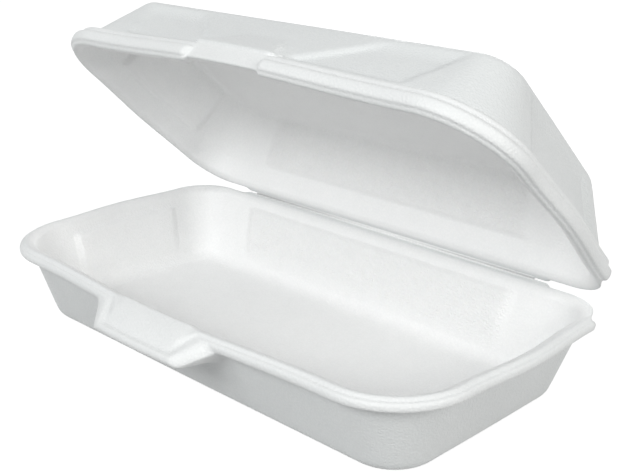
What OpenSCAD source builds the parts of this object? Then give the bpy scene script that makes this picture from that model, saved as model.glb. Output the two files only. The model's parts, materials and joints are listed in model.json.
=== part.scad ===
// Foam clamshell meal container: a sloped tray with a tongue at the front
// and a matching lid that swings on the long back edge of the same sheet.
// Millimetres, +Z up, origin at the middle of the tray's underside.
// +X runs along the length, the tongue faces -Y and the hinge lies at +Y.

/* [Outline] */
// Length over the rim crest
rim_length = 240; // [210:1:270]
// Width over the rim crest
rim_width = 123; // [114:1:140]
// Radius of the front corners of the rim crest
front_radius = 31; // [28:0.5:36]
// Radius of the hinge corners of the rim crest
hinge_radius = 19; // [16:0.5:24]
// Outward bow of the front edge at its middle
front_bow = 5; // [0:0.25:6]
// Outward bow of both short edges at their middle
end_bow = 2.5; // [0:0.25:3.5]
// Thickness of the foam sheet
sheet = 2.6; // [2:0.1:3]

/* [Tray] */
// Height of the tray from table to rim crest
tray_height = 36.5; // [32:0.5:44]
// How far the tray wall leans in from the crest to the base
tray_lean = 13; // [11:0.25:16]
// Rounding between tray wall and base
base_round = 7; // [5:0.5:9]

/* [Lid] */
// Height of the lid from rim crest to its flat top
lid_height = 37.5; // [34:0.5:44]
// How far the lid wall leans in from the crest to the top
lid_lean = 18; // [14:0.25:20]
// Rounding between lid wall and top
top_round = 6; // [4:0.5:7.5]
// Opening angle of the lid as it stands, zero is shut
lid_open = 43; // [20:1:75]

/* [Rim] */
// Reach of the lip beyond the crest
lip_reach = 2.6; // [1.5:0.1:3.5]
// Drop of the tray lip's lower edge below the crest
lip_drop = 4.9; // [4:0.1:5.2]
// Height of the lid lip's upper edge above the crest
lid_lip_rise = 5.8; // [5:0.1:6.2]
// Height of the shoulder above the lid lip
shoulder_rise = 3.7; // [3:0.1:4.2]
// Width of the rounded rim from the crest to its inner edge
rim_inner = 5; // [4:0.1:6]
// Part of the half width where the lip ends before the hinge corners
lip_end_share = 0.76; // [0.7:0.01:0.85]

/* [Tongue] */
// Width of the tongue at its outer edge
tongue_width = 55; // [44:1:60]
// Extra width of the tongue where it leaves the rim, on each side
tongue_flare = 11; // [8:0.5:14]
// Reach of the tongue beyond the rim crest
tongue_reach = 12.5; // [9:0.5:15]
// Drop of the tongue's outer edge below the crest
tongue_drop = 7; // [5:0.1:8]
// Height of the tongue's inner edge above the crest
tongue_rise = 0.5; // [0:0.1:1]

/* [Lid front] */
// Width of the flat notch in the lid rim above the tongue
notch_width = 41; // [36:1:46]
// Height of the lid crest inside the notch
notch_rise = 1.6; // [1.4:0.1:2.2]
// Height of the top of the boss above the lid crest
boss_top = 23; // [20:0.5:25]
// How far the boss stands out of the lid wall at its foot
boss_out = 5; // [4:0.25:5.5]

/* [Panels] */
// Depth of the shallow panels in the lid walls
lid_panel_depth = 1.1; // [0.5:0.1:1.4]
// Height of the lower edge of the front panels above the lid crest
front_panel_low = 12.2; // [11.5:0.1:14]
// Height of the lower edge of the end and back panels above the lid crest
end_panel_low = 11.2; // [10.8:0.1:13]
// Depth of the shallow panels inside the tray
tray_panel_depth = 0.9; // [0.4:0.1:1.3]
// Distance of the back panel's upper edge in the tray below the crest
back_panel_drop = 4.2; // [3.8:0.1:5]
// Distance of the end panels' upper edges in the tray below the crest
end_panel_drop = 6.8; // [5.5:0.1:8]

/* [Hinge] */
// Distance of the hinge line behind the crest
hinge_back = 2.6; // [2:0.1:3.6]
// Clearance between the two crests when the lid is shut
crest_gap = 0.4; // [0.3:0.05:0.8]
// Clearance between the two halves at the fold line
fold_gap = 0.3; // [0.2:0.05:0.6]
// Thickness of the pressed sheet at the hinge line
hinge_thick = 0.9; // [0.6:0.1:1.2]

/* [Hidden] */
lid_crest_z = tray_height + crest_gap;
hinge_y = rim_width / 2 + hinge_back;
hinge_z = tray_height + crest_gap / 2;
lip_end_y = rim_width / 2 * lip_end_share;
lip_cut = 2.6;

// Half lengths of the straight stretches along the front and along the hinge
mid_x = rim_length / 2 - front_radius;
back_x = rim_length / 2 - hinge_radius;
// Length of the straight stretch at each end
end_length = rim_width - front_radius - hinge_radius;

// Number of columns round the outline
front_steps = 7;
hinge_steps = 6;
end_steps = 10;
back_steps = 26;
tongue_steps = 20;
side_steps = 7;
// Half length of the front that carries close columns for the tongue
close_half = min(tongue_width / 2 + tongue_flare + 7, mid_x - 20);

function clamp(v) = max(0, min(1, v));
function ramp(v, a, b) = let (t = clamp((v - a) / (b - a))) t * t * (3 - 2 * t);
function mix(a, b, t) = a + (b - a) * t;

// Corners of the outline in turn: their sides, their radii at the crest, and how much of an
// offset goes into the radius; the rest moves the corner's centre
corner_side = [[-1, -1], [1, -1], [1, 1], [-1, 1]];
corner_size = [front_radius, front_radius, hinge_radius, hinge_radius];
corner_shrink = [1, 1, 0.45, 0.45];
function radius_at(i, out) = corner_size[i] + corner_shrink[i] * out;
function centre_at(i, out) = let (inset = out - radius_at(i, out))
    [corner_side[i][0] * (rim_length / 2 + inset), corner_side[i][1] * (rim_width / 2 + inset)];

// Columns of the outline: each lies between two corners at a share of the way, and faces outward
front_half = concat(
    [for (i = [0 : tongue_steps - 1]) close_half * i / tongue_steps],
    [for (i = [0 : side_steps - 1]) mix(close_half, mid_x, i / side_steps)]);
front_count = len(front_half);
front_shares = concat(
    [for (i = [front_count - 1 : -1 : 0]) (1 - front_half[i] / mid_x) / 2],
    [for (i = [1 : front_count - 1]) (1 + front_half[i] / mid_x) / 2]);
function even(steps) = [for (i = [1 : steps - 1]) i / steps];
function corner_columns(i, from, steps) = [for (k = [0 : steps])
    let (a = from + 90 * k / steps) [i, i, 0, cos(a), sin(a)]];
function edge_columns(i, j, shares, nx, ny) = [for (share = shares) [i, j, share, nx, ny]];
columns = concat(
    corner_columns(0, 180, front_steps), edge_columns(0, 1, front_shares, 0, -1),
    corner_columns(1, 270, front_steps), edge_columns(1, 2, even(end_steps), 1, 0),
    corner_columns(2, 0, hinge_steps), edge_columns(2, 3, even(back_steps), 0, 1),
    corner_columns(3, 90, hinge_steps), edge_columns(3, 0, even(end_steps), -1, 0));
column_count = len(columns);

// Place of a column at an outward offset from the crest line
function spot(c, out, extra) = mix(centre_at(c[0], out), centre_at(c[1], out), c[2])
    + [c[3], c[4]] * (mix(radius_at(c[0], out), radius_at(c[1], out), c[2]) + extra);
function along(c) = abs(spot(c, 0, 0)[0]);

// Which side of the outline a column belongs to
function is_front(c) = c[4] < -0.999;
function is_back(c) = c[4] > 0.999;
function is_end(c) = abs(c[3]) > 0.999;
// Share of the end shape in a column, for edges that change height round a corner
function end_share(c) = c[3] * c[3];

// Bow of the front and the short sides, greatest at the rim
function bow(c) = (is_front(c) ? front_bow : is_end(c) ? end_bow : 0) * (1 - cos(360 * c[2])) / 2;
// Distance of a column on an end from the nearer corner
function from_corner(c) = min(c[2], 1 - c[2]) * end_length;

// Lip weight fades out in the hinge corners, flange weight lives along the hinge
function lip_weight(c) = 1 - ramp(spot(c, 0, 0)[1], lip_end_y - lip_cut, lip_end_y + lip_cut);
function flange_weight(c) = is_back(c) ? 1 - ramp(along(c), back_x - 14, back_x - 6) : 0;

// Rim levels from the wall out to the groove beside the crest, as [outward, upward] from the crest
edge = 0.9;
flange_top = (crest_gap - fold_gap) / 2;
rim_lip = [
    [-2.2, -lip_drop - 0.6],
    [lip_reach - edge, -lip_drop],
    [lip_reach - 0.1, -lip_drop + edge * 0.9],
    [lip_reach, -lip_drop + 2.3],
    [lip_reach - edge * 0.6, -1.5],
    [lip_reach * 0.35, -1.1]];
rim_bare = [
    [-2.9, -5.6],
    [-2.3, -4.5],
    [-1.6, -3.4],
    [-1, -2.5],
    [-0.4, -1.6],
    [0, -0.9]];
rim_flange = [
    [-2.8, -5.2],
    [-0.8, -2.4 - hinge_thick],
    [hinge_back - 0.3, flange_top - hinge_thick],
    [hinge_back - 0.05, flange_top - hinge_thick * 0.5],
    [hinge_back - 0.1, flange_top],
    [hinge_back * 0.45, flange_top - 0.1]];
rim_tongue = [
    [-4.4, -tongue_drop - 6.2],
    [tongue_reach - 0.9, -tongue_drop - 4.4],
    [tongue_reach + 0.4, -tongue_drop - 3.4],
    [tongue_reach + 0.6, -tongue_drop - 2],
    [tongue_reach - 0.2, -tongue_drop - 0.6],
    [tongue_reach - 1.7, -tongue_drop + 0.3]];
rim_count = len(rim_lip);
crest_levels = [[0.2, -0.3], [-0.7, 0], [-rim_inner * 0.5, -0.5], [-rim_inner * 0.84, -1.5], [-rim_inner, -2.8]];
crest_tongue = [[tongue_reach * 0.4, -tongue_drop * 0.42], [-0.8, 0], [-rim_inner * 0.5, -0.2],
    [-rim_inner * 0.86, -1.3], crest_levels[4]];
// Share of the tongue's rise at each crest level; it lies under the lid's notch
crest_lift = [0, 1, 1, 0.3, 0];

// The same for the lid, upward from its crest, with a low shoulder above the lip
shoulder_top = lid_lip_rise + shoulder_rise;
lid_lip = [
    [-1, shoulder_top],
    [0.4, shoulder_top - 0.8],
    [0.6, lid_lip_rise + 0.8],
    [lip_reach - 0.1, lid_lip_rise],
    [lip_reach, lid_lip_rise - 2.4],
    [lip_reach - edge * 0.6, 1.5],
    [lip_reach * 0.35, 1.1]];
lid_bare = [
    [-3.6, 8.8],
    [-3.1, 7.4],
    [-2.5, 6],
    [-1.8, 4.6],
    [-1.2, 3.3],
    [-0.5, 2],
    [0, 0.9]];
lid_flange = [
    [-3.5, 8.2],
    [-2.6, 5.4],
    [-0.8, 2.4 + hinge_thick],
    [hinge_back - 0.3, hinge_thick - flange_top],
    [hinge_back - 0.05, hinge_thick * 0.5 - flange_top],
    [hinge_back - 0.1, -flange_top],
    [hinge_back * 0.45, 0.1 - flange_top]];
lid_rim_count = len(lid_lip);
notch_face = 0.3;
lid_notch = [for (i = [0 : lid_rim_count - 1])
    [notch_face, mix(shoulder_top - 0.3, notch_rise + edge, i / (lid_rim_count - 1))]];

// Tongue weight by level: narrow at its inner edge, wide at the rim
function tongue_weight(c, level) = is_front(c)
    ? let (wide = clamp(1 - level / rim_count),
           inner = mix(tongue_width / 2 - 8, tongue_width / 2, wide),
           outer = inner + mix(6, tongue_flare, wide))
      1 - clamp((along(c) - inner) / (outer - inner)) : 0;

// Wall lines: outward distance from the crest at a height above the base or above the lid crest
wall_top_out = -3.4;
wall_top_drop = 6.6;
shoulder_in = -4;
shoulder_z = shoulder_top + 0.7;
function tray_wall(z) = mix(-tray_lean, wall_top_out, z / (tray_height - wall_top_drop));
function lid_wall(z) = mix(shoulder_in, -lid_lean, (z - shoulder_z) / (lid_height - shoulder_z));
tray_angle = atan2(wall_top_out + tray_lean, tray_height - wall_top_drop);
lid_angle = atan2(shoulder_in + lid_lean, lid_height - shoulder_z);
tray_side = sheet / cos(tray_angle);
lid_side = sheet / cos(lid_angle);

// Rounded foot between a flat and a wall that leans by the angle, given as [outward, height]
foot_steps = 4;
function foot(at, angle, r) = let (turn = 90 - angle, reach = r * tan(turn / 2))
    [for (i = [0 : foot_steps]) let (a = turn * i / foot_steps)
        [at - reach + r * sin(a), r * (1 - cos(a))]];

// Tray levels from the underside, over the rim, to the floor inside
tray_foot_out = foot(-tray_lean, tray_angle, base_round);
tray_foot_in = foot(tray_wall(sheet) - tray_side, tray_angle, base_round);
ledge = 0.9;
tongue_foot = tongue_drop + 7.8;
tray_outer_count = foot_steps + 3;
// The wall ends lower under the tongue
function tray_outer(c, k) = k <= foot_steps ? tray_foot_out[k]
    : let (z = k == foot_steps + 1 ? tray_height * 0.4
        : tray_height - mix(wall_top_drop, tongue_foot, tongue_weight(c, 0))) [tray_wall(z), z];
// Inner wall levels: the panel's ledge, then two heights down to the rounded foot
function panel_drop(c) = mix(back_panel_drop, end_panel_drop, end_share(c));
tray_mid_count = 4;
function tray_mid(c, k) = tray_height - (k == 0 ? panel_drop(c) : k == 1 ? panel_drop(c) + ledge
    : k == 2 ? tray_height * 0.38 : tray_height * 0.58);

// Inner tray panels on the back and the ends: full at the ledge, fading downwards
function tray_panel(c, z) =
    let (side = is_back(c) ? 1 - ramp(along(c), mid_x - 12, mid_x - 7)
            : is_end(c) ? ramp(from_corner(c), 4, 9) : 0,
         drop = tray_height - z, top = panel_drop(c))
    tray_panel_depth * side * clamp((drop - top) / ledge)
        * (1 - ramp(drop, top + ledge, tray_height * 0.78));
function tray_inner(c, k) = k < tray_mid_count
    ? let (z = tray_mid(c, k)) [tray_wall(z) - tray_side - tray_panel(c, z), z]
    : let (p = tray_foot_in[foot_steps + tray_mid_count - k], z = p[1] + sheet) [p[0] - tray_panel(c, z), z];
tray_inner_count = tray_mid_count + foot_steps + 1;

// Mix of lip, bare corner and hinge flange at one rim level
function blend_rim(c, lip, bare, flange) = let (l = lip_weight(c), f = flange_weight(c))
    lip * l * (1 - f) + bare * (1 - l) * (1 - f) + flange * f;

function tray_level(c, k) = k < tray_outer_count ? tray_outer(c, k)
    : k < tray_outer_count + rim_count
    ? let (m = k - tray_outer_count, p = blend_rim(c, rim_lip[m], rim_bare[m], rim_flange[m]))
      mix(p, rim_tongue[m], tongue_weight(c, m)) + [0, tray_height]
    : k < tray_outer_count + rim_count + len(crest_levels)
    ? let (m = k - tray_outer_count - rim_count)
      mix(crest_levels[m], crest_tongue[m], tongue_weight(c, rim_count))
        + [0, tray_height + tongue_rise * crest_lift[m] * notch_weight(c)]
    : tray_inner(c, k - tray_outer_count - rim_count - len(crest_levels));
tray_levels = tray_outer_count + rim_count + len(crest_levels) + tray_inner_count;

// Lid levels, heights measured up from the lid crest
lid_foot_out = foot(-lid_lean, lid_angle, top_round);
lid_foot_in = foot(lid_wall(lid_height - sheet) - lid_side, lid_angle, top_round);
panel_step = 1;
function panel_low(c) = mix(front_panel_low, end_panel_low, is_back(c) ? 1 : end_share(c));
function lid_mid(c, k) = k == 0 ? boss_top : k == 1 ? panel_low(c) + panel_step : k == 2 ? panel_low(c)
    : shoulder_z;
lid_mid_count = 4;

// Shallow lid panels: two on the front beside the boss, one on each end, one on the back
function lid_panel(c, z) =
    let (spread = (z - front_panel_low) * 0.6,
         side = is_front(c) ? ramp(along(c), notch_width / 2 - 5, notch_width / 2 - 1)
                * (1 - ramp(along(c), mid_x - 16 + spread, mid_x - 12 + spread))
            : is_back(c) ? 1 - ramp(along(c), mid_x - 12, mid_x - 7)
            : is_end(c) ? ramp(from_corner(c), 4, 9) : 0)
    lid_panel_depth * side * clamp((z - panel_low(c)) / panel_step)
        * (1 - ramp(z, lid_height - top_round - 3, lid_height - top_round * 0.4));

// Boss over the notch: wide and proud at its foot, flush and narrow at its top
function boss(c, z) = is_front(c)
    ? let (up = clamp((z - shoulder_z) / (boss_top - shoulder_z)),
           half = mix(notch_width / 2 + 1, notch_width / 5, up))
      boss_out * (1 - up) * (1 - ramp(along(c), half, half + 4)) : 0;
function notch_weight(c) = is_front(c) ? 1 - ramp(along(c), notch_width / 2 - 1.5, notch_width / 2 + 1.5) : 0;

function lid_outer(c, k) = k <= foot_steps
    ? [lid_foot_out[k][0] - lid_panel(c, lid_height - lid_foot_out[k][1]), lid_height - lid_foot_out[k][1]]
    : let (z = lid_mid(c, k - foot_steps - 1)) [lid_wall(z) - lid_panel(c, z) + boss(c, z), z];
lid_outer_count = foot_steps + 1 + lid_mid_count;
function lid_inner(c, k) = k < lid_mid_count
    ? let (z = lid_mid(c, lid_mid_count - 1 - k))
      [lid_wall(z) - lid_side - lid_panel(c, z) + boss(c, z) * 0.7, z]
    : let (p = lid_foot_in[foot_steps + lid_mid_count - k], z = lid_height - sheet - p[1])
      [p[0] - lid_panel(c, z), z];
lid_inner_count = lid_mid_count + foot_steps + 1;

function lid_level(c, k) = k < lid_outer_count ? lid_outer(c, k)
    : k < lid_outer_count + lid_rim_count
    ? let (m = k - lid_outer_count, p = blend_rim(c, lid_lip[m], lid_bare[m], lid_flange[m]))
      mix(p, lid_notch[m], notch_weight(c))
    : k < lid_outer_count + lid_rim_count + len(crest_levels)
    ? let (p = crest_levels[k - lid_outer_count - lid_rim_count])
      [p[0], -p[1] + notch_rise * notch_weight(c)]
    : lid_inner(c, k - lid_outer_count - lid_rim_count - len(crest_levels));
lid_levels = lid_outer_count + lid_rim_count + len(crest_levels) + lid_inner_count;

// A point of a wall level on a column, bowed most at the rim
function place(c, level, share) = let (p = spot(c, level[0], bow(c) * clamp(share))) [p[0], p[1], level[1]];

// Skin of triangles over stacked rings, closed at each end by a fan round a middle point;
// the diagonals are mirrored on the two halves, so left and right are alike
function turned(t, flip) = flip ? [t[0], t[2], t[1]] : t;
function right_half(i, j) = spot(columns[i], 0, 0)[0] + spot(columns[j], 0, 0)[0] > 0;
function skin(levels, flip) = let (last = (levels - 1) * column_count, low = levels * column_count, high = low + 1)
    [for (k = [0 : levels - 1]) for (i = [0 : column_count - 1])
        let (j = (i + 1) % column_count, a = k * column_count + i, b = k * column_count + j)
        each k == levels - 1
            ? [turned([i, j, low], flip), turned([last + j, last + i, high], flip)]
            : right_half(i, j) == flip
            ? [turned([a, b + column_count, b], flip), turned([a, a + column_count, b + column_count], flip)]
            : [turned([a, a + column_count, b], flip), turned([b, a + column_count, b + column_count], flip)]];

module tray() {
    points = concat(
        [for (k = [0 : tray_levels - 1]) for (c = columns)
            let (level = tray_level(c, k)) place(c, level, level[1] / tray_height)],
        [[0, 0, 0], [0, 0, sheet]]);
    color([0.95, 0.95, 0.95])
        polyhedron(points, skin(tray_levels, false), 4);
}

module lid() {
    points = concat(
        [for (k = [0 : lid_levels - 1]) for (c = columns)
            let (level = lid_level(c, k))
            place(c, level, 1 - level[1] / lid_height) + [0, 0, lid_crest_z]],
        [[0, 0, lid_crest_z + lid_height], [0, 0, lid_crest_z + lid_height - sheet]]);
    color([0.95, 0.95, 0.95])
        translate([0, hinge_y, hinge_z])
            rotate([-lid_open, 0, 0])
                translate([0, -hinge_y, -hinge_z])
                    polyhedron(points, skin(lid_levels, true), 4);
}

tray();
lid();
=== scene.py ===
import bmesh
import bpy
import json
import math
from collections import namedtuple
from mathutils import Matrix, Vector
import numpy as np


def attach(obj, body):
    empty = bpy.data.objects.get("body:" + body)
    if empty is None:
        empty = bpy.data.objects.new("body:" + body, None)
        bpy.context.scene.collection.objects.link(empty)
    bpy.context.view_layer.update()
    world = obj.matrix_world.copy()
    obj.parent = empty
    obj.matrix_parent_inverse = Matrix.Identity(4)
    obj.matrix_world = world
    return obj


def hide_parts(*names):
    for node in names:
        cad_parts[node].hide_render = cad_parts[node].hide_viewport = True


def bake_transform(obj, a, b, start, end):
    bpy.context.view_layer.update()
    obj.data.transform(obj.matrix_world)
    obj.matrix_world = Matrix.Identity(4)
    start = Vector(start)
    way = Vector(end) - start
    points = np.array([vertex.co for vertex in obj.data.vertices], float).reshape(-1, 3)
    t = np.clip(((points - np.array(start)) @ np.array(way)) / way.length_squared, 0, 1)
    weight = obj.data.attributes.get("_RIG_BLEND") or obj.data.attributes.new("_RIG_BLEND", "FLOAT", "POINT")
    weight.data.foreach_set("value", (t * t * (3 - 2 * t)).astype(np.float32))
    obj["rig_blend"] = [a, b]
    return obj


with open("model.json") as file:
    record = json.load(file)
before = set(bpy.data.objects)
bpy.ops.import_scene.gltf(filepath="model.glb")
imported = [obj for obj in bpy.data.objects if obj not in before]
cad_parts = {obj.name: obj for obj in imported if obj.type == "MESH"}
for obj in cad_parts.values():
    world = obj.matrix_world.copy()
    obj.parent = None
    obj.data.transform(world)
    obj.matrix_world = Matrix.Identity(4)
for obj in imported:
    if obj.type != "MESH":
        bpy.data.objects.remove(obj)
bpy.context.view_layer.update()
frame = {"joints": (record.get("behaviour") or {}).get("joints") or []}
scene = bpy.context.scene
scene.view_settings.view_transform = "Standard"
hinge = frame["joints"][0]
foldPoint = Vector(hinge["pos_m"])
restOpening = math.radians(-hinge["range_deg"][0])  # the lid stands this far from shut
mm = 0.001


# camera

cameraView = {
    "azimuth": 44.59,          # degrees, 0 looks along +Y
    "elevation": 19.51,
    "distance": 0.4755,
    "target": (0.00104, 0.01938, 0.046),
    "focalPixels": 1115.4,     # focal length in pixels of the picture
    "pictureWidth": 629,
    "sensor": 36.0,
    "clipStart": 0.01,
}


def makeCamera(view):
    azimuth = math.radians(view["azimuth"])
    elevation = math.radians(view["elevation"])
    back = Vector((math.sin(azimuth) * math.cos(elevation),
                   -math.cos(azimuth) * math.cos(elevation),
                   math.sin(elevation)))
    data = bpy.data.cameras.new("camera")
    data.sensor_fit = "HORIZONTAL"
    data.sensor_width = view["sensor"]
    data.lens = view["focalPixels"] * view["sensor"] / view["pictureWidth"]
    data.clip_start = view["clipStart"]
    camera = bpy.data.objects.new("camera", data)
    camera.rotation_mode = "QUATERNION"
    camera.rotation_quaternion = (-back).to_track_quat("-Z", "Y")
    camera.location = Vector(view["target"]) + back * view["distance"]
    scene.collection.objects.link(camera)
    scene.camera = camera


makeCamera(cameraView)
print("camera placed")


# foam finish

foamFinish = {
    "shade": (0.9, 0.905, 0.905, 1.0),        # between the cells
    "white": (0.97, 0.97, 0.965, 1.0),        # on the cells
    "outerPaintedShade": (0.83, 0.848, 0.848, 1.0),   # painted shade: the outer walls are painted greyer, standing in for light that goes through the thin foam
    # painted light: the inner walls keep full white
    "innerTint": (1.0, 1.0, 1.0, 1.0),
    "roughness": (0.36, 0.52),                # on the cells and between them
    "refraction": 1.48,
    "cellsPerMetre": 1100.0,
    "cellSoftness": 0.35,                     # how far cells melt into each other
    "cellDome": (0.1, 0.7),                   # distances from a cell's middle to its top and its edge
    "cloudsPerMetre": 120.0,
    "cloudDetail": 4.0,
    "cloudRoughness": 0.62,
    "cloudShare": 0.55,                       # of the clouds in the mottle
    "grainsPerCell": 2.6,
    "grainDetail": 2.0,
    "grainShare": 0.35,                       # of the fine grain in the height
    "bump": 0.75,
    "bumpDepth": 0.00055,
    "plainBump": 0.4,                         # share of the bump outside the rough panels
}


def addNode(tree, kind, at, **settings):
    node = tree.nodes.new(kind)
    node.location = at
    for name, value in settings.items():
        setattr(node, name, value)
    return node


def makeCellGroup(finish):
    group = bpy.data.node_groups.new("foamCells", "ShaderNodeTree")
    sockets = group.interface
    sockets.new_socket(name="Cells", in_out="INPUT", socket_type="NodeSocketFloat")
    sockets.new_socket(name="Clouds", in_out="INPUT", socket_type="NodeSocketFloat")
    sockets.new_socket(name="Mottle", in_out="OUTPUT", socket_type="NodeSocketFloat")
    sockets.new_socket(name="Height", in_out="OUTPUT", socket_type="NodeSocketFloat")
    link = group.links.new
    given = addNode(group, "NodeGroupInput", (-900, 0))
    put = addNode(group, "NodeGroupOutput", (500, 0))
    place = addNode(group, "ShaderNodeTexCoord", (-900, 250))
    cells = addNode(group, "ShaderNodeTexVoronoi", (-600, 200), feature="SMOOTH_F1")
    cells.inputs["Smoothness"].default_value = finish["cellSoftness"]
    clouds = addNode(group, "ShaderNodeTexNoise", (-600, -150))
    clouds.inputs["Detail"].default_value = finish["cloudDetail"]
    clouds.inputs["Roughness"].default_value = finish["cloudRoughness"]
    grain = addNode(group, "ShaderNodeMath", (-600, -400), operation="MULTIPLY")
    grain.inputs[1].default_value = finish["grainsPerCell"]
    fine = addNode(group, "ShaderNodeTexNoise", (-350, -400))
    fine.inputs["Detail"].default_value = finish["grainDetail"]
    link(place.outputs["Object"], cells.inputs["Vector"])
    link(place.outputs["Object"], clouds.inputs["Vector"])
    link(place.outputs["Object"], fine.inputs["Vector"])
    link(given.outputs["Cells"], cells.inputs["Scale"])
    link(given.outputs["Clouds"], clouds.inputs["Scale"])
    link(given.outputs["Cells"], grain.inputs[0])
    link(grain.outputs[0], fine.inputs["Scale"])
    dome = addNode(group, "ShaderNodeMapRange", (-300, 200))   # a cell is high in its middle
    dome.inputs["From Min"].default_value = finish["cellDome"][0]
    dome.inputs["From Max"].default_value = finish["cellDome"][1]
    dome.inputs["To Min"].default_value = 1.0
    dome.inputs["To Max"].default_value = 0.0
    link(cells.outputs["Distance"], dome.inputs["Value"])
    mixed = addNode(group, "ShaderNodeMix", (0, 100), data_type="FLOAT")
    mixed.inputs["Factor"].default_value = finish["cloudShare"]
    link(dome.outputs["Result"], mixed.inputs["A"])
    link(clouds.outputs["Fac"], mixed.inputs["B"])
    rough = addNode(group, "ShaderNodeMix", (0, -200), data_type="FLOAT")
    rough.inputs["Factor"].default_value = finish["grainShare"]
    link(dome.outputs["Result"], rough.inputs["A"])
    link(fine.outputs["Fac"], rough.inputs["B"])
    link(mixed.outputs["Result"], put.inputs["Mottle"])
    link(rough.outputs["Result"], put.inputs["Height"])
    return group


def makeFoam(finish, cells):
    material = bpy.data.materials.new("whiteFoam")
    material.use_nodes = True
    tree = material.node_tree
    link = tree.links.new
    shader = tree.nodes["Principled BSDF"]
    shader.inputs["IOR"].default_value = finish["refraction"]
    pattern = addNode(tree, "ShaderNodeGroup", (-700, 0), node_tree=cells)
    pattern.inputs["Cells"].default_value = finish["cellsPerMetre"]
    pattern.inputs["Clouds"].default_value = finish["cloudsPerMetre"]
    colour = addNode(tree, "ShaderNodeMix", (-400, 200), data_type="RGBA")
    colour.inputs["A"].default_value = finish["shade"]
    colour.inputs["B"].default_value = finish["white"]
    polish = addNode(tree, "ShaderNodeMapRange", (-400, -50))
    polish.inputs["To Min"].default_value = finish["roughness"][1]
    polish.inputs["To Max"].default_value = finish["roughness"][0]
    bump = addNode(tree, "ShaderNodeBump", (-400, -350))
    rough = addNode(tree, "ShaderNodeAttribute", (-900, -350), attribute_name="panel")
    strength = addNode(tree, "ShaderNodeMapRange", (-650, -350))
    strength.inputs["To Min"].default_value = finish["bump"] * finish["plainBump"]
    strength.inputs["To Max"].default_value = finish["bump"]
    link(rough.outputs["Fac"], strength.inputs["Value"])
    link(strength.outputs["Result"], bump.inputs["Strength"])
    bump.inputs["Distance"].default_value = finish["bumpDepth"]
    link(pattern.outputs["Mottle"], colour.inputs["Factor"])
    link(pattern.outputs["Mottle"], polish.inputs["Value"])
    link(pattern.outputs["Height"], bump.inputs["Height"])
    # painted shade on the outer walls and painted light on the inner ones, mixed by the vertex share and
    # multiplied into the colour
    inner = addNode(tree, "ShaderNodeAttribute", (-700, 450), attribute_name="inner")
    paintedLightMix = addNode(tree, "ShaderNodeMix", (-400, 450), data_type="RGBA")
    paintedLightMix.inputs["A"].default_value = finish["outerPaintedShade"]
    paintedLightMix.inputs["B"].default_value = finish["innerTint"]
    paintedLightColour = addNode(tree, "ShaderNodeMix", (-200, 300), data_type="RGBA", blend_type="MULTIPLY")
    paintedLightColour.inputs["Factor"].default_value = 1.0
    link(inner.outputs["Fac"], paintedLightMix.inputs["Factor"])
    link(colour.outputs["Result"], paintedLightColour.inputs["A"])
    link(paintedLightMix.outputs["Result"], paintedLightColour.inputs["B"])
    link(paintedLightColour.outputs["Result"], shader.inputs["Base Color"])
    link(polish.outputs["Result"], shader.inputs["Roughness"])
    link(bump.outputs["Normal"], shader.inputs["Normal"])
    return material


foam = makeFoam(foamFinish, makeCellGroup(foamFinish))
print("foam finish made")


# outline: columns round the rim, each between two corners and facing outward (millimetres)

outline = {
    "length": 240.0,
    "width": 123.0,
    "frontRadius": 31.0,
    "hingeRadius": 19.0,
    "hingeShrink": 0.45,      # part of an offset that goes into the hinge corners' radius
    "frontBow": 5.0,
    "endBow": 2.5,
    "cornerSteps": (24, 20),  # columns in a front corner and in a hinge corner
    "endSteps": 44,
    "backSteps": 130,
    "tongueHalf": 46.0,       # half length of the front with close columns
    "closeStep": 1.0,
    "wideStep": 2.0,
    "straight": 0.999,        # a column whose outward side is above this stands on a straight stretch
}
Column = namedtuple("Column", "a b share nx ny")
halfLength, halfWidth = outline["length"] / 2, outline["width"] / 2
frontRun = halfLength - outline["frontRadius"]
backRun = halfLength - outline["hingeRadius"]
endLength = outline["width"] - outline["frontRadius"] - outline["hingeRadius"]
cornerSides = ((-1, -1), (1, -1), (1, 1), (-1, 1))
cornerRadii = (outline["frontRadius"],) * 2 + (outline["hingeRadius"],) * 2
cornerShrinks = (1.0, 1.0) + (outline["hingeShrink"],) * 2


def clamp(value):
    return max(0.0, min(1.0, value))


def ramp(value, start, end):
    share = clamp((value - start) / (end - start))
    return share * share * (3 - 2 * share)


def mix(a, b, share):
    return a + (b - a) * share


def radiusAt(corner, out):
    return cornerRadii[corner] + cornerShrinks[corner] * out


def centreAt(corner, out):
    inset = out - radiusAt(corner, out)
    side = cornerSides[corner]
    return Vector((side[0] * (halfLength + inset), side[1] * (halfWidth + inset)))


def spot(c, out, extra=0.0):
    centre = mix(centreAt(c.a, out), centreAt(c.b, out), c.share)
    return centre + Vector((c.nx, c.ny)) * (mix(radiusAt(c.a, out), radiusAt(c.b, out), c.share) + extra)


def along(c):
    return abs(spot(c, 0)[0])


def isFront(c):
    return c.ny < -outline["straight"]


def isBack(c):
    return c.ny > outline["straight"]


def isEnd(c):
    return abs(c.nx) > outline["straight"]


def fromCorner(c):
    return min(c.share, 1 - c.share) * endLength


def bow(c):
    most = outline["frontBow"] if isFront(c) else outline["endBow"] if isEnd(c) else 0.0
    return most * (1 - math.cos(2 * math.pi * c.share)) / 2


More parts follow.
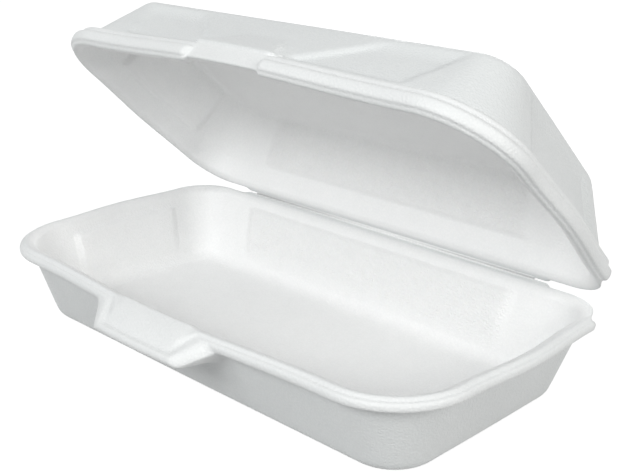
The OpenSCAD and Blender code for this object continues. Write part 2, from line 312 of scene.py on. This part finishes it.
def makeColumns(shape):
    close = [i * shape["closeStep"] for i in range(int(shape["tongueHalf"] / shape["closeStep"]))]
    wideCount = int((frontRun - shape["tongueHalf"]) / shape["wideStep"])
    wide = [mix(shape["tongueHalf"], frontRun, i / wideCount) for i in range(wideCount)]
    half = close + wide
    front = [-x for x in half[:0:-1]] + half
    runs = ([(x / frontRun + 1) / 2 for x in front],
            [i / shape["endSteps"] for i in range(1, shape["endSteps"])],
            [i / shape["backSteps"] for i in range(1, shape["backSteps"])],
            [i / shape["endSteps"] for i in range(1, shape["endSteps"])])
    faces = ((0, -1), (1, 0), (0, 1), (-1, 0))
    columns = []
    for corner in range(4):
        steps = shape["cornerSteps"][corner // 2]
        for k in range(steps + 1):
            angle = math.radians(180 + 90 * corner + 90 * k / steps)
            columns.append(Column(corner, corner, 0.0, math.cos(angle), math.sin(angle)))
        columns += [Column(corner, (corner + 1) % 4, share, *faces[corner]) for share in runs[corner]]
    return columns


columns = makeColumns(outline)


def roundedFoot(at, angle, radius, steps=5):
    turn = math.pi / 2 - angle
    reach = radius * math.tan(turn / 2)
    turns = [turn * i / steps for i in range(steps + 1)]
    return [(at - reach + radius * math.sin(a), radius * (1 - math.cos(a))) for a in turns]


# rim: sections from the wall out to the groove, then over the crest, as (outward, upward) from the crest

rim = {
    "sheet": 2.6,
    "lipReach": 2.6,
    "lipDrop": 4.9,
    "lipEnd": 0.76,          # part of the half width where the lip ends
    "lipCut": 2.0,
    "hingeBack": 2.6,
    "hingeThick": 0.9,
    "flangeTop": 0.05,
    "flangeEnd": (14.0, 6.0),
    # over the crest, from the groove to the inner wall
    "crest": ((0.2, -0.3), (-0.7, 0.0), (-2.5, -0.5), (-4.2, -1.5), (-5.0, -2.8)),
    "levels": 9,             # levels of the rim that carry its painted light share
    "rimPaintedLight": 0.35,       # painted light on the rim, between the outer walls' painted shade and the inner walls' white
    "flatRings": (0.94, 0.5, 0.0),   # size of the rings that close a flat, the last at its middle
}
lipReach, lipDrop = rim["lipReach"], rim["lipDrop"]
hingeBack, hingeThick = rim["hingeBack"], rim["hingeThick"]
flangeTop = rim["flangeTop"]


def lipWeight(c):
    end = halfWidth * rim["lipEnd"]
    return 1 - ramp(spot(c, 0)[1], end - rim["lipCut"], end + rim["lipCut"])


def flangeWeight(c):
    start, end = (backRun - inset for inset in rim["flangeEnd"])
    return 1 - ramp(along(c), start, end) if isBack(c) else 0.0


def pair(a, b, share):
    return mix(a[0], b[0], share), mix(a[1], b[1], share)


def rimAt(c, lip, bare, flange):
    return pair(pair(bare, lip, lipWeight(c)), flange, flangeWeight(c))


def notchWeight(c, shape):
    half, edge = shape["notchHalf"], shape["notchEdge"]
    return 1 - ramp(along(c), half - edge, half + edge) if isFront(c) else 0.0


def cutCorners(rows):
    fresh = [rows[0]]
    for near, far in zip(rows, rows[1:]):
        for share in (0.25, 0.75):
            fresh.append([tuple(mix(a, b, share) for a, b in zip(p, q)) for p, q in zip(near, far)])
    return fresh + [rows[-1]]


def setLevel(ring, row, bowed, layers):
    for vert, c, (out, height, *shares) in zip(ring, columns, row):
        place = spot(c, out, bow(c) * clamp(bowed(height)))
        vert.co = Vector((place[0], place[1], height)) * mm
        for layer, share in zip(layers, shares):
            vert[layer] = share


def nextRing(mesh, ring):
    edges = [mesh.edges.get((ring[i - 1], ring[i])) for i in range(len(ring))]
    made = bmesh.ops.extrude_edge_only(mesh, edges=edges)["geom"]
    fresh = {v for v in made if isinstance(v, bmesh.types.BMVert)}
    return [next(e.other_vert(v) for e in v.link_edges if e.other_vert(v) in fresh) for v in ring]


def closeFlat(mesh, ring, height):
    made = []
    for share in rim["flatRings"]:
        before = [v.co.copy() for v in ring]
        ring = nextRing(mesh, ring)
        made += ring
        for vert, old in zip(ring, before):
            vert.co = Vector((old[0] * share, old[1] * share, height * mm))
    bmesh.ops.pointmerge(mesh, verts=ring, merge_co=(0, 0, height * mm))
    return [v for v in made if v.is_valid]


# levels go from the middle of one flat, over the rim, to the middle of the other
def makeShell(node, name, levels, masks, wallCount, bowed, ends, turn):
    mesh = bmesh.new()
    maskNames = ("panel", "inner")
    for maskName in maskNames:
        mesh.verts.layers.float.new(maskName)
    layers = [mesh.verts.layers.float[maskName] for maskName in maskNames]
    ring = [mesh.verts.new() for c in columns]
    for i in range(len(ring)):
        mesh.edges.new((ring[i - 1], ring[i]))
    first = ring
    # painted light share of each level: none on the outer walls, which get painted shade, the rim's share on
    # the rim, full on the inner walls
    shares = [0.0] * wallCount + [rim["rimPaintedLight"]] * rim["levels"]
    shares += [1.0] * (len(levels) - len(shares))
    rows = [[(*place, rough, inner) for place, rough in zip(level, mask)]
            for level, mask, inner in zip(levels, masks, shares)]
    rows = cutCorners(cutCorners(rows))
    for number, row in enumerate(rows):
        ring = nextRing(mesh, ring) if number else ring
        setLevel(ring, row, bowed, layers)
    closeFlat(mesh, first, ends[0])
    # the inner flat gets full painted light
    for vert in closeFlat(mesh, ring, ends[1]):
        vert[layers[1]] = 1.0
    bmesh.ops.recalc_face_normals(mesh, faces=mesh.faces)
    bmesh.ops.rotate(mesh, verts=mesh.verts, cent=foldPoint, matrix=Matrix.Rotation(-turn, 3, "X"))
    for face in mesh.faces:
        face.smooth = True
    data = bpy.data.meshes.new(name)
    mesh.to_mesh(data)
    mesh.free()
    data.materials.append(foam)
    shell = bpy.data.objects.new(name, data)
    scene.collection.objects.link(shell)
    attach(shell, node)
    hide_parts(node)
    return shell


# tray

tray = {
    "height": 36.5,
    "lean": 13.0,
    "baseRound": 7.0,
    "wallTop": (-3.4, 6.6),       # outward place of the wall's top and its drop below the crest
    "wallMiddle": 0.4,            # height of one level in the outer wall, as a share of the tray's
    "tongueWidth": 55.0,
    "tongueFlare": (11.0, 6.0),   # slope of the tongue's ends underneath and at the crest
    "tongueInset": 8.0,           # by which it is narrower on each side at the crest
    "tongueReach": 12.5,
    "tongueDrop": 7.0,
    "tongueRoot": 7.8,            # drop of the wall's top below the tongue
    "tongueRise": 0.5,
    "riseShares": (0.0, 1.0, 1.0, 0.3, 0.0),   # of the rise at each level of the crest
    "notchHalf": 20.5,
    "notchEdge": 1.5,
    "panelDepth": 2.0,
    "panelDrop": (4.2, 6.8),      # upper edge of the back panel and of the end panels below the crest
    "panelInset": (9.0, 5.0),     # of the back panel and of the end panels from the corners
    "panelEdge": 2.0,
    "panelFade": (0.5, 0.8),      # shares of the height between which a panel runs out downwards
    "panelLevels": (0.7, 0.55, 0.4),   # heights of levels in the inner wall, as shares of the tray's
    "grainRise": 4.0,             # how fast the grain sets in at a panel's edge
    "ledge": 0.9,
}


def makeTrayLevels(shape):
    high, lean, sheet = shape["height"], shape["lean"], rim["sheet"]
    topOut, topDrop = shape["wallTop"]
    reach, drop = shape["tongueReach"], shape["tongueDrop"]
    angle = math.atan2(topOut + lean, high - topDrop)
    side = sheet / math.cos(angle)
    lip = [(-2.2, -lipDrop - 0.6), (lipReach - 0.9, -lipDrop), (lipReach - 0.1, -lipDrop + 0.8),
           (lipReach, -lipDrop + 2.3), (lipReach - 0.5, -1.5), (lipReach * 0.6, -1.25),
           (lipReach * 0.35, -1.1)]
    bare = [(-2.9, -5.6), (-2.3, -4.5), (-1.6, -3.4), (-1.0, -2.5), (-0.5, -1.8), (-0.3, -1.4), (0.0, -0.9)]
    flange = [(-2.8, -5.2), (-0.8, -2.4 - hingeThick), (hingeBack - 0.3, flangeTop - hingeThick),
              (hingeBack - 0.05, flangeTop - hingeThick * 0.5), (hingeBack - 0.1, flangeTop),
              (hingeBack * 0.7, flangeTop - 0.05), (hingeBack * 0.45, flangeTop - 0.1)]
    tongue = [(-4.4, -drop - 6.2), (reach - 0.9, -drop - 4.4), (reach + 0.4, -drop - 3.4),
              (reach + 0.6, -drop - 2.0), (reach - 0.3, -drop - 0.5), (reach - 1.6, -drop - 0.3),
              (reach - 2.9, -drop - 0.05)]
    tongueCrest = [(reach * 0.42, -drop * 0.38), (-0.8, 0.0), (-2.5, -0.2), (-4.3, -1.3), rim["crest"][-1]]
    rimCount = len(lip) - 1

    def tongueWeight(c, level):
        if not isFront(c):
            return 0.0
        near = clamp(level / rimCount)   # 0 under the tongue, 1 at the crest
        half = shape["tongueWidth"] / 2 - shape["tongueInset"] * near
        return 1 - clamp((along(c) - half) / mix(*shape["tongueFlare"], near))

    def wall(z):
        return mix(-lean, topOut, z / (high - topDrop))

    def panelSide(c):
        if isBack(c):
            edge = frontRun - shape["panelInset"][0]
            return 1 - ramp(along(c), edge, edge + shape["panelEdge"])
        edge = shape["panelInset"][1]
        return ramp(fromCorner(c), edge, edge + shape["panelEdge"]) if isEnd(c) else 0.0

    def panelTop(c):
        return mix(*shape["panelDrop"], c.nx * c.nx)

    def panelAt(c, z):
        below = high - z
        ledge = clamp((below - panelTop(c)) / shape["ledge"])
        return panelSide(c) * ledge * (1 - ramp(below / high, *shape["panelFade"]))

    def grainMask(depths):
        return [clamp(shape["grainRise"] * d) if isBack(c) else 0.0 for c, d in zip(columns, depths)]

    footOut = roundedFoot(-lean, angle, shape["baseRound"])
    footIn = roundedFoot(wall(sheet) - side, angle, shape["baseRound"])
    levels = [[p for c in columns] for p in footOut]
    middle = high * shape["wallMiddle"]
    levels.append([(wall(middle), middle) for c in columns])
    tops = [high - mix(topDrop, drop + shape["tongueRoot"], tongueWeight(c, 0)) for c in columns]
    levels.append([(wall(z), z) for z in tops])
    for m in range(len(lip)):
        row = [pair(rimAt(c, lip[m], bare[m], flange[m]), tongue[m], tongueWeight(c, m)) for c in columns]
        levels.append([(out, up + high) for out, up in row])
    for plain, raised, share in zip(rim["crest"], tongueCrest, shape["riseShares"]):
        row = [pair(plain, raised, tongueWeight(c, rimCount)) for c in columns]
        rise = shape["tongueRise"] * share
        levels.append([(out, up + high + rise * notchWeight(c, shape)) for c, (out, up) in zip(columns, row)])
    masks = [[0.0] * len(columns) for level in levels]
    steps = [lambda c: high - panelTop(c), lambda c: high - panelTop(c) - shape["ledge"]]
    steps += [lambda c, share=share: high * share for share in shape["panelLevels"]]
    for step in steps:
        depths = [panelAt(c, step(c)) for c in columns]
        levels.append([(wall(step(c)) - side - shape["panelDepth"] * d, step(c))
                       for c, d in zip(columns, depths)])
        masks.append(grainMask(depths))
    for out, up in reversed(footIn):
        depths = [panelAt(c, up + sheet) for c in columns]
        levels.append([(out - shape["panelDepth"] * d, up + sheet) for d in depths])
        masks.append(grainMask(depths))
    return levels, masks, len(footOut) + 2   # the last counts the levels of the outer wall


trayLevels, trayMasks, trayWall = makeTrayLevels(tray)
trayShell = makeShell("tray", "tray_shell", trayLevels, trayMasks, trayWall, lambda z: z / tray["height"],
                      (0.0, rim["sheet"]), 0.0)
print("tray made:", len(trayShell.data.polygons), "faces")


# lid, made shut and then swung open about the fold

lid = {
    "height": 37.5,
    "lean": 18.0,
    "topRound": 6.0,
    "crestGap": 0.4,
    "lipRise": 5.8,
    "shoulderRise": 3.7,
    "shoulderIn": -4.0,
    "shoulderStep": 0.7,          # from the shoulder up to the foot of the wall
    "notchHalf": 20.5,
    "notchRise": 1.6,
    "notchEdge": 1.2,
    "notchOut": 0.3,
    "notchSpan": (-0.3, 0.9),     # from below the shoulder to above the notch's edge
    "bossTop": 23.0,
    "bossOut": 5.0,
    "bossFoot": 1.0,              # by which the boss's foot is wider than the notch on each side
    "bossHead": 0.4,              # half length of its head, as a share of the notch's
    "bossEdge": 3.0,
    "bossInside": 0.7,            # share of the boss that shows on the inside
    "panelDepth": 1.9,
    "panelLow": (12.2, 11.2),     # lower edge of the front panels and of the others above the crest
    "panelInset": (15.0, 9.0, 5.0),   # from the corners, of the front, back and end panels
    "panelFade": (3.0, 0.4),      # start below the top's rounding, and end as a share of that rounding
    "panelEdge": 1.3,
    "panelLevels": 8,
    "ledge": 1.0,
    "slantEdge": 4.2,
    "panelSlant": (1.4, 0.6),     # outward run of the front panels' inner and outer edges for each height
}


def makeLidLevels(shape):
    high, lean, sheet = shape["height"], shape["lean"], rim["sheet"]
    lipRise = shape["lipRise"]
    shoulderTop = lipRise + shape["shoulderRise"]
    shoulderZ = shoulderTop + shape["shoulderStep"]
    angle = math.atan2(shape["shoulderIn"] + lean, high - shoulderZ)
    side = sheet / math.cos(angle)
    lip = [(-1.0, shoulderTop), (0.4, shoulderTop - 0.8), (0.6, lipRise + 0.8), (lipReach - 0.1, lipRise),
           (lipReach, lipRise - 2.4), (lipReach - 0.5, 1.5), (lipReach * 0.35, 1.1)]
    bare = [(-3.6, 8.8), (-3.1, 7.4), (-2.5, 6.0), (-1.8, 4.6), (-1.2, 3.3), (-0.5, 2.0), (0.0, 0.9)]
    flange = [(-3.5, 8.2), (-2.6, 5.4), (-0.8, 2.4 + hingeThick), (hingeBack - 0.3, hingeThick - flangeTop),
              (hingeBack - 0.05, hingeThick * 0.5 - flangeTop), (hingeBack - 0.1, -flangeTop),
              (hingeBack * 0.45, 0.1 - flangeTop)]
    notchTop = shoulderTop + shape["notchSpan"][0]
    notchLow = shape["notchRise"] + shape["notchSpan"][1]
    notch = [(shape["notchOut"], mix(notchTop, notchLow, m / (len(lip) - 1))) for m in range(len(lip))]

    def wall(z):
        return mix(shape["shoulderIn"], -lean, (z - shoulderZ) / (high - shoulderZ))

    def panelLow(c):
        return mix(*shape["panelLow"], 1 if isBack(c) else c.nx * c.nx)

    def panelSide(c, z):
        edge = shape["panelEdge"]
        front, back, end = shape["panelInset"]
        if isFront(c):
            rise = z - shape["panelLow"][0]
            near = shape["notchHalf"] + rise * shape["panelSlant"][0]
            far = frontRun - front + rise * shape["panelSlant"][1]
            return ramp(along(c), near, near + shape["slantEdge"]) * (1 - ramp(along(c), far, far + edge))
        if isBack(c):
            return 1 - ramp(along(c), frontRun - back, frontRun - back + edge)
        return ramp(fromCorner(c), end, end + edge) if isEnd(c) else 0.0

    def panelAt(c, z):
        run, flat = shape["panelFade"]
        fade = 1 - ramp(z, high - shape["topRound"] - run, high - shape["topRound"] * flat)
        return panelSide(c, z) * clamp((z - panelLow(c)) / shape["ledge"]) * fade

    def boss(c, z):
        if not isFront(c):
            return 0.0
        up = clamp((z - shoulderZ) / (shape["bossTop"] - shoulderZ))
        half = mix(shape["notchHalf"] + shape["bossFoot"], shape["notchHalf"] * shape["bossHead"], up)
        return shape["bossOut"] * (1 - up) * (1 - ramp(along(c), half, half + shape["bossEdge"]))

    def grainMask(depths):
        return [d if isBack(c) else 0.0 for c, d in zip(columns, depths)]

    footOut = roundedFoot(-lean, angle, shape["topRound"])
    footIn = roundedFoot(wall(high - sheet) - side, angle, shape["topRound"])
    levels = []
    for out, down in footOut:
        depths = [panelAt(c, high - down) for c in columns]
        levels.append([(out - shape["panelDepth"] * d, high - down) for d in depths])
    ledge, count = shape["ledge"], shape["panelLevels"]
    wallHigh = high - footOut[-1][1] - ledge
    steps = [lambda c, share=i / count: mix(wallHigh, panelLow(c) + ledge, share) for i in range(count + 1)]
    steps += [panelLow, lambda c: shoulderZ]
    for step in steps:
        depths = [panelAt(c, step(c)) for c in columns]
        levels.append([(wall(step(c)) - shape["panelDepth"] * d + boss(c, step(c)), step(c))
                       for c, d in zip(columns, depths)])
    for m in range(len(lip)):
        levels.append([pair(rimAt(c, lip[m], bare[m], flange[m]), notch[m], notchWeight(c, shape))
                       for c in columns])
    for out, up in rim["crest"]:
        levels.append([(out, shape["notchRise"] * notchWeight(c, shape) - up) for c in columns])
    masks = [[0.0] * len(columns) for level in levels]
    share = shape["bossInside"]
    for step in reversed(steps):
        depths = [panelAt(c, step(c)) for c in columns]
        levels.append([(wall(step(c)) - side - shape["panelDepth"] * d + share * boss(c, step(c)), step(c))
                       for c, d in zip(columns, depths)])
        masks.append(grainMask(depths))
    for out, down in reversed(footIn):
        depths = [panelAt(c, high - sheet - down) for c in columns]
        levels.append([(out - shape["panelDepth"] * d, high - sheet - down) for d in depths])
        masks.append(grainMask(depths))
    return levels, masks, len(footOut) + len(steps)


lidCrest = tray["height"] + lid["crestGap"]
lidLevels, lidMasks, lidWall = makeLidLevels(lid)
lidLevels = [[(out, up + lidCrest) for out, up in level] for level in lidLevels]
lidEnds = (lidCrest + lid["height"], lidCrest + lid["height"] - rim["sheet"])
lidShell = makeShell("lid", "lid_shell", lidLevels, lidMasks, lidWall,
                     lambda z: 1 - (z - lidCrest) / lid["height"], lidEnds, restOpening)
print("lid made:", len(lidShell.data.polygons), "faces")


# hinge web: the thin fold between the two halves

webShape = {
    "halfLength": 0.083,
    "reach": 0.0012,      # how far it runs into each flange
    "depth": 0.0006,      # of its two edges, away from the fold line
    "thickness": 0.0006,
    "steps": 3,           # rows in each half
}


def makeWeb(shape):
    mesh = bmesh.new()
    webPaintedLight = mesh.verts.layers.float.new("inner")
    low = Vector((0, -shape["reach"], -shape["depth"]))
    turn = Matrix.Rotation(-restOpening, 3, "X")
    high = turn @ Vector((0, -shape["reach"], shape["depth"]))
    steps = shape["steps"]
    rows = [low * (1 - i / steps) for i in range(steps)] + [high * (i / steps) for i in range(steps + 1)]
    side = Vector((shape["halfLength"], 0, 0))
    line = [mesh.verts.new(foldPoint + row - side) for row in rows]
    edges = [mesh.edges.new(ends) for ends in zip(line, line[1:])]
    run = bmesh.ops.extrude_edge_only(mesh, edges=edges)
    farLine = [v for v in run["geom"] if isinstance(v, bmesh.types.BMVert)]
    bmesh.ops.translate(mesh, verts=farLine, vec=2 * side)
    bmesh.ops.recalc_face_normals(mesh, faces=mesh.faces)
    bmesh.ops.solidify(mesh, geom=mesh.faces[:], thickness=shape["thickness"])
    bmesh.ops.recalc_face_normals(mesh, faces=mesh.faces)
    # the web gets full painted light, like the inner walls
    for vert in mesh.verts:
        vert[webPaintedLight] = 1.0
    for face in mesh.faces:
        face.smooth = True
    data = bpy.data.meshes.new("hinge_web")
    mesh.to_mesh(data)
    mesh.free()
    data.materials.append(foam)
    web = bpy.data.objects.new("hinge_web", data)
    scene.collection.objects.link(web)
    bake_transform(web, "tray", "lid", start=foldPoint + low, end=foldPoint + high)


makeWeb(webShape)
print("hinge web made")


# floor and light

studio = {
    "floorSize": 6.0,
    "floorColour": (0.35, 0.35, 0.35, 1.0),
    "floorRoughness": 0.9,
    "floorGlow": 0.84,         # white that the camera sees on top of the lit floor
    "worldLight": 0.36,
    "worldColour": (0.98, 0.99, 1.0, 1.0),
    "whiteColour": (1.0, 1.0, 1.0, 1.0),   # what the camera sees behind everything
    "lampAim": (0, 0, 0.05),
}
lamps = {
    "left": {"from": (-0.3, -1.12, 0.78), "size": 0.5, "power": 3.2, "colour": (0.99, 1.0, 1.0)},
    "key": {"from": (0.3, -1.12, 0.78), "size": 0.5, "power": 6.3, "colour": (0.99, 1.0, 1.0)},
    "back": {"from": (-0.7, 1.3, 0.3), "size": 0.6, "power": 4.0, "colour": (1.0, 1.0, 1.0)},
    "right": {"from": (1.25, -0.1, 0.6), "size": 0.7, "power": 7.2, "colour": (1.0, 0.99, 0.97)},
}


def seenByEye(tree):
    path = addNode(tree, "ShaderNodeLightPath", (-700, 300))
    shiny = addNode(tree, "ShaderNodeMath", (-500, 300), operation="MAXIMUM")
    seen = addNode(tree, "ShaderNodeMath", (-300, 300), operation="MAXIMUM")
    tree.links.new(path.outputs["Is Glossy Ray"], shiny.inputs[0])
    tree.links.new(path.outputs["Is Transmission Ray"], shiny.inputs[1])
    tree.links.new(path.outputs["Is Camera Ray"], seen.inputs[0])
    tree.links.new(shiny.outputs[0], seen.inputs[1])
    return seen.outputs[0]


def makeFloor(look):
    mesh = bmesh.new()
    bmesh.ops.create_grid(mesh, x_segments=1, y_segments=1, size=look["floorSize"] / 2)
    data = bpy.data.meshes.new("floor")
    mesh.to_mesh(data)
    mesh.free()
    material = bpy.data.materials.new("paleFloor")
    material.use_nodes = True
    tree = material.node_tree
    shader = tree.nodes["Principled BSDF"]
    shader.inputs["Base Color"].default_value = look["floorColour"]
    shader.inputs["Roughness"].default_value = look["floorRoughness"]
    glow = addNode(tree, "ShaderNodeMath", (-100, 300), operation="MULTIPLY")
    glow.inputs[1].default_value = look["floorGlow"]
    white = addNode(tree, "ShaderNodeEmission", (0, -300))
    both = addNode(tree, "ShaderNodeAddShader", (250, 100))
    tree.links.new(seenByEye(tree), glow.inputs[0])
    tree.links.new(glow.outputs[0], white.inputs["Strength"])
    tree.links.new(shader.outputs[0], both.inputs[0])
    tree.links.new(white.outputs[0], both.inputs[1])
    tree.links.new(both.outputs[0], tree.nodes["Material Output"].inputs["Surface"])
    data.materials.append(material)
    floor = bpy.data.objects.new("floor", data)
    scene.collection.objects.link(floor)


def makeWorld(look):
    world = bpy.data.worlds.new("studio")
    world.use_nodes = True
    tree = world.node_tree
    soft = tree.nodes["Background"]
    soft.inputs["Color"].default_value = look["worldColour"]
    soft.inputs["Strength"].default_value = look["worldLight"]
    white = addNode(tree, "ShaderNodeBackground", (0, -200))
    white.inputs["Color"].default_value = look["whiteColour"]
    both = addNode(tree, "ShaderNodeMixShader", (250, 100))
    tree.links.new(seenByEye(tree), both.inputs["Fac"])
    tree.links.new(soft.outputs[0], both.inputs[1])
    tree.links.new(white.outputs[0], both.inputs[2])
    tree.links.new(both.outputs[0], tree.nodes["World Output"].inputs["Surface"])
    scene.world = world


def makeLamp(name, lamp, aim):
    data = bpy.data.lights.new(name, "AREA")
    data.shape = "DISK"
    data.size = lamp["size"]
    data.energy = lamp["power"]
    data.color = lamp["colour"]
    light = bpy.data.objects.new(name, data)
    light.location = lamp["from"]
    light.rotation_mode = "QUATERNION"
    light.rotation_quaternion = (Vector(aim) - light.location).to_track_quat("-Z", "Y")
    scene.collection.objects.link(light)


makeFloor(studio)
makeWorld(studio)
for lampName, lampLook in lamps.items():
    makeLamp(lampName, lampLook, studio["lampAim"])
print("floor and light made")
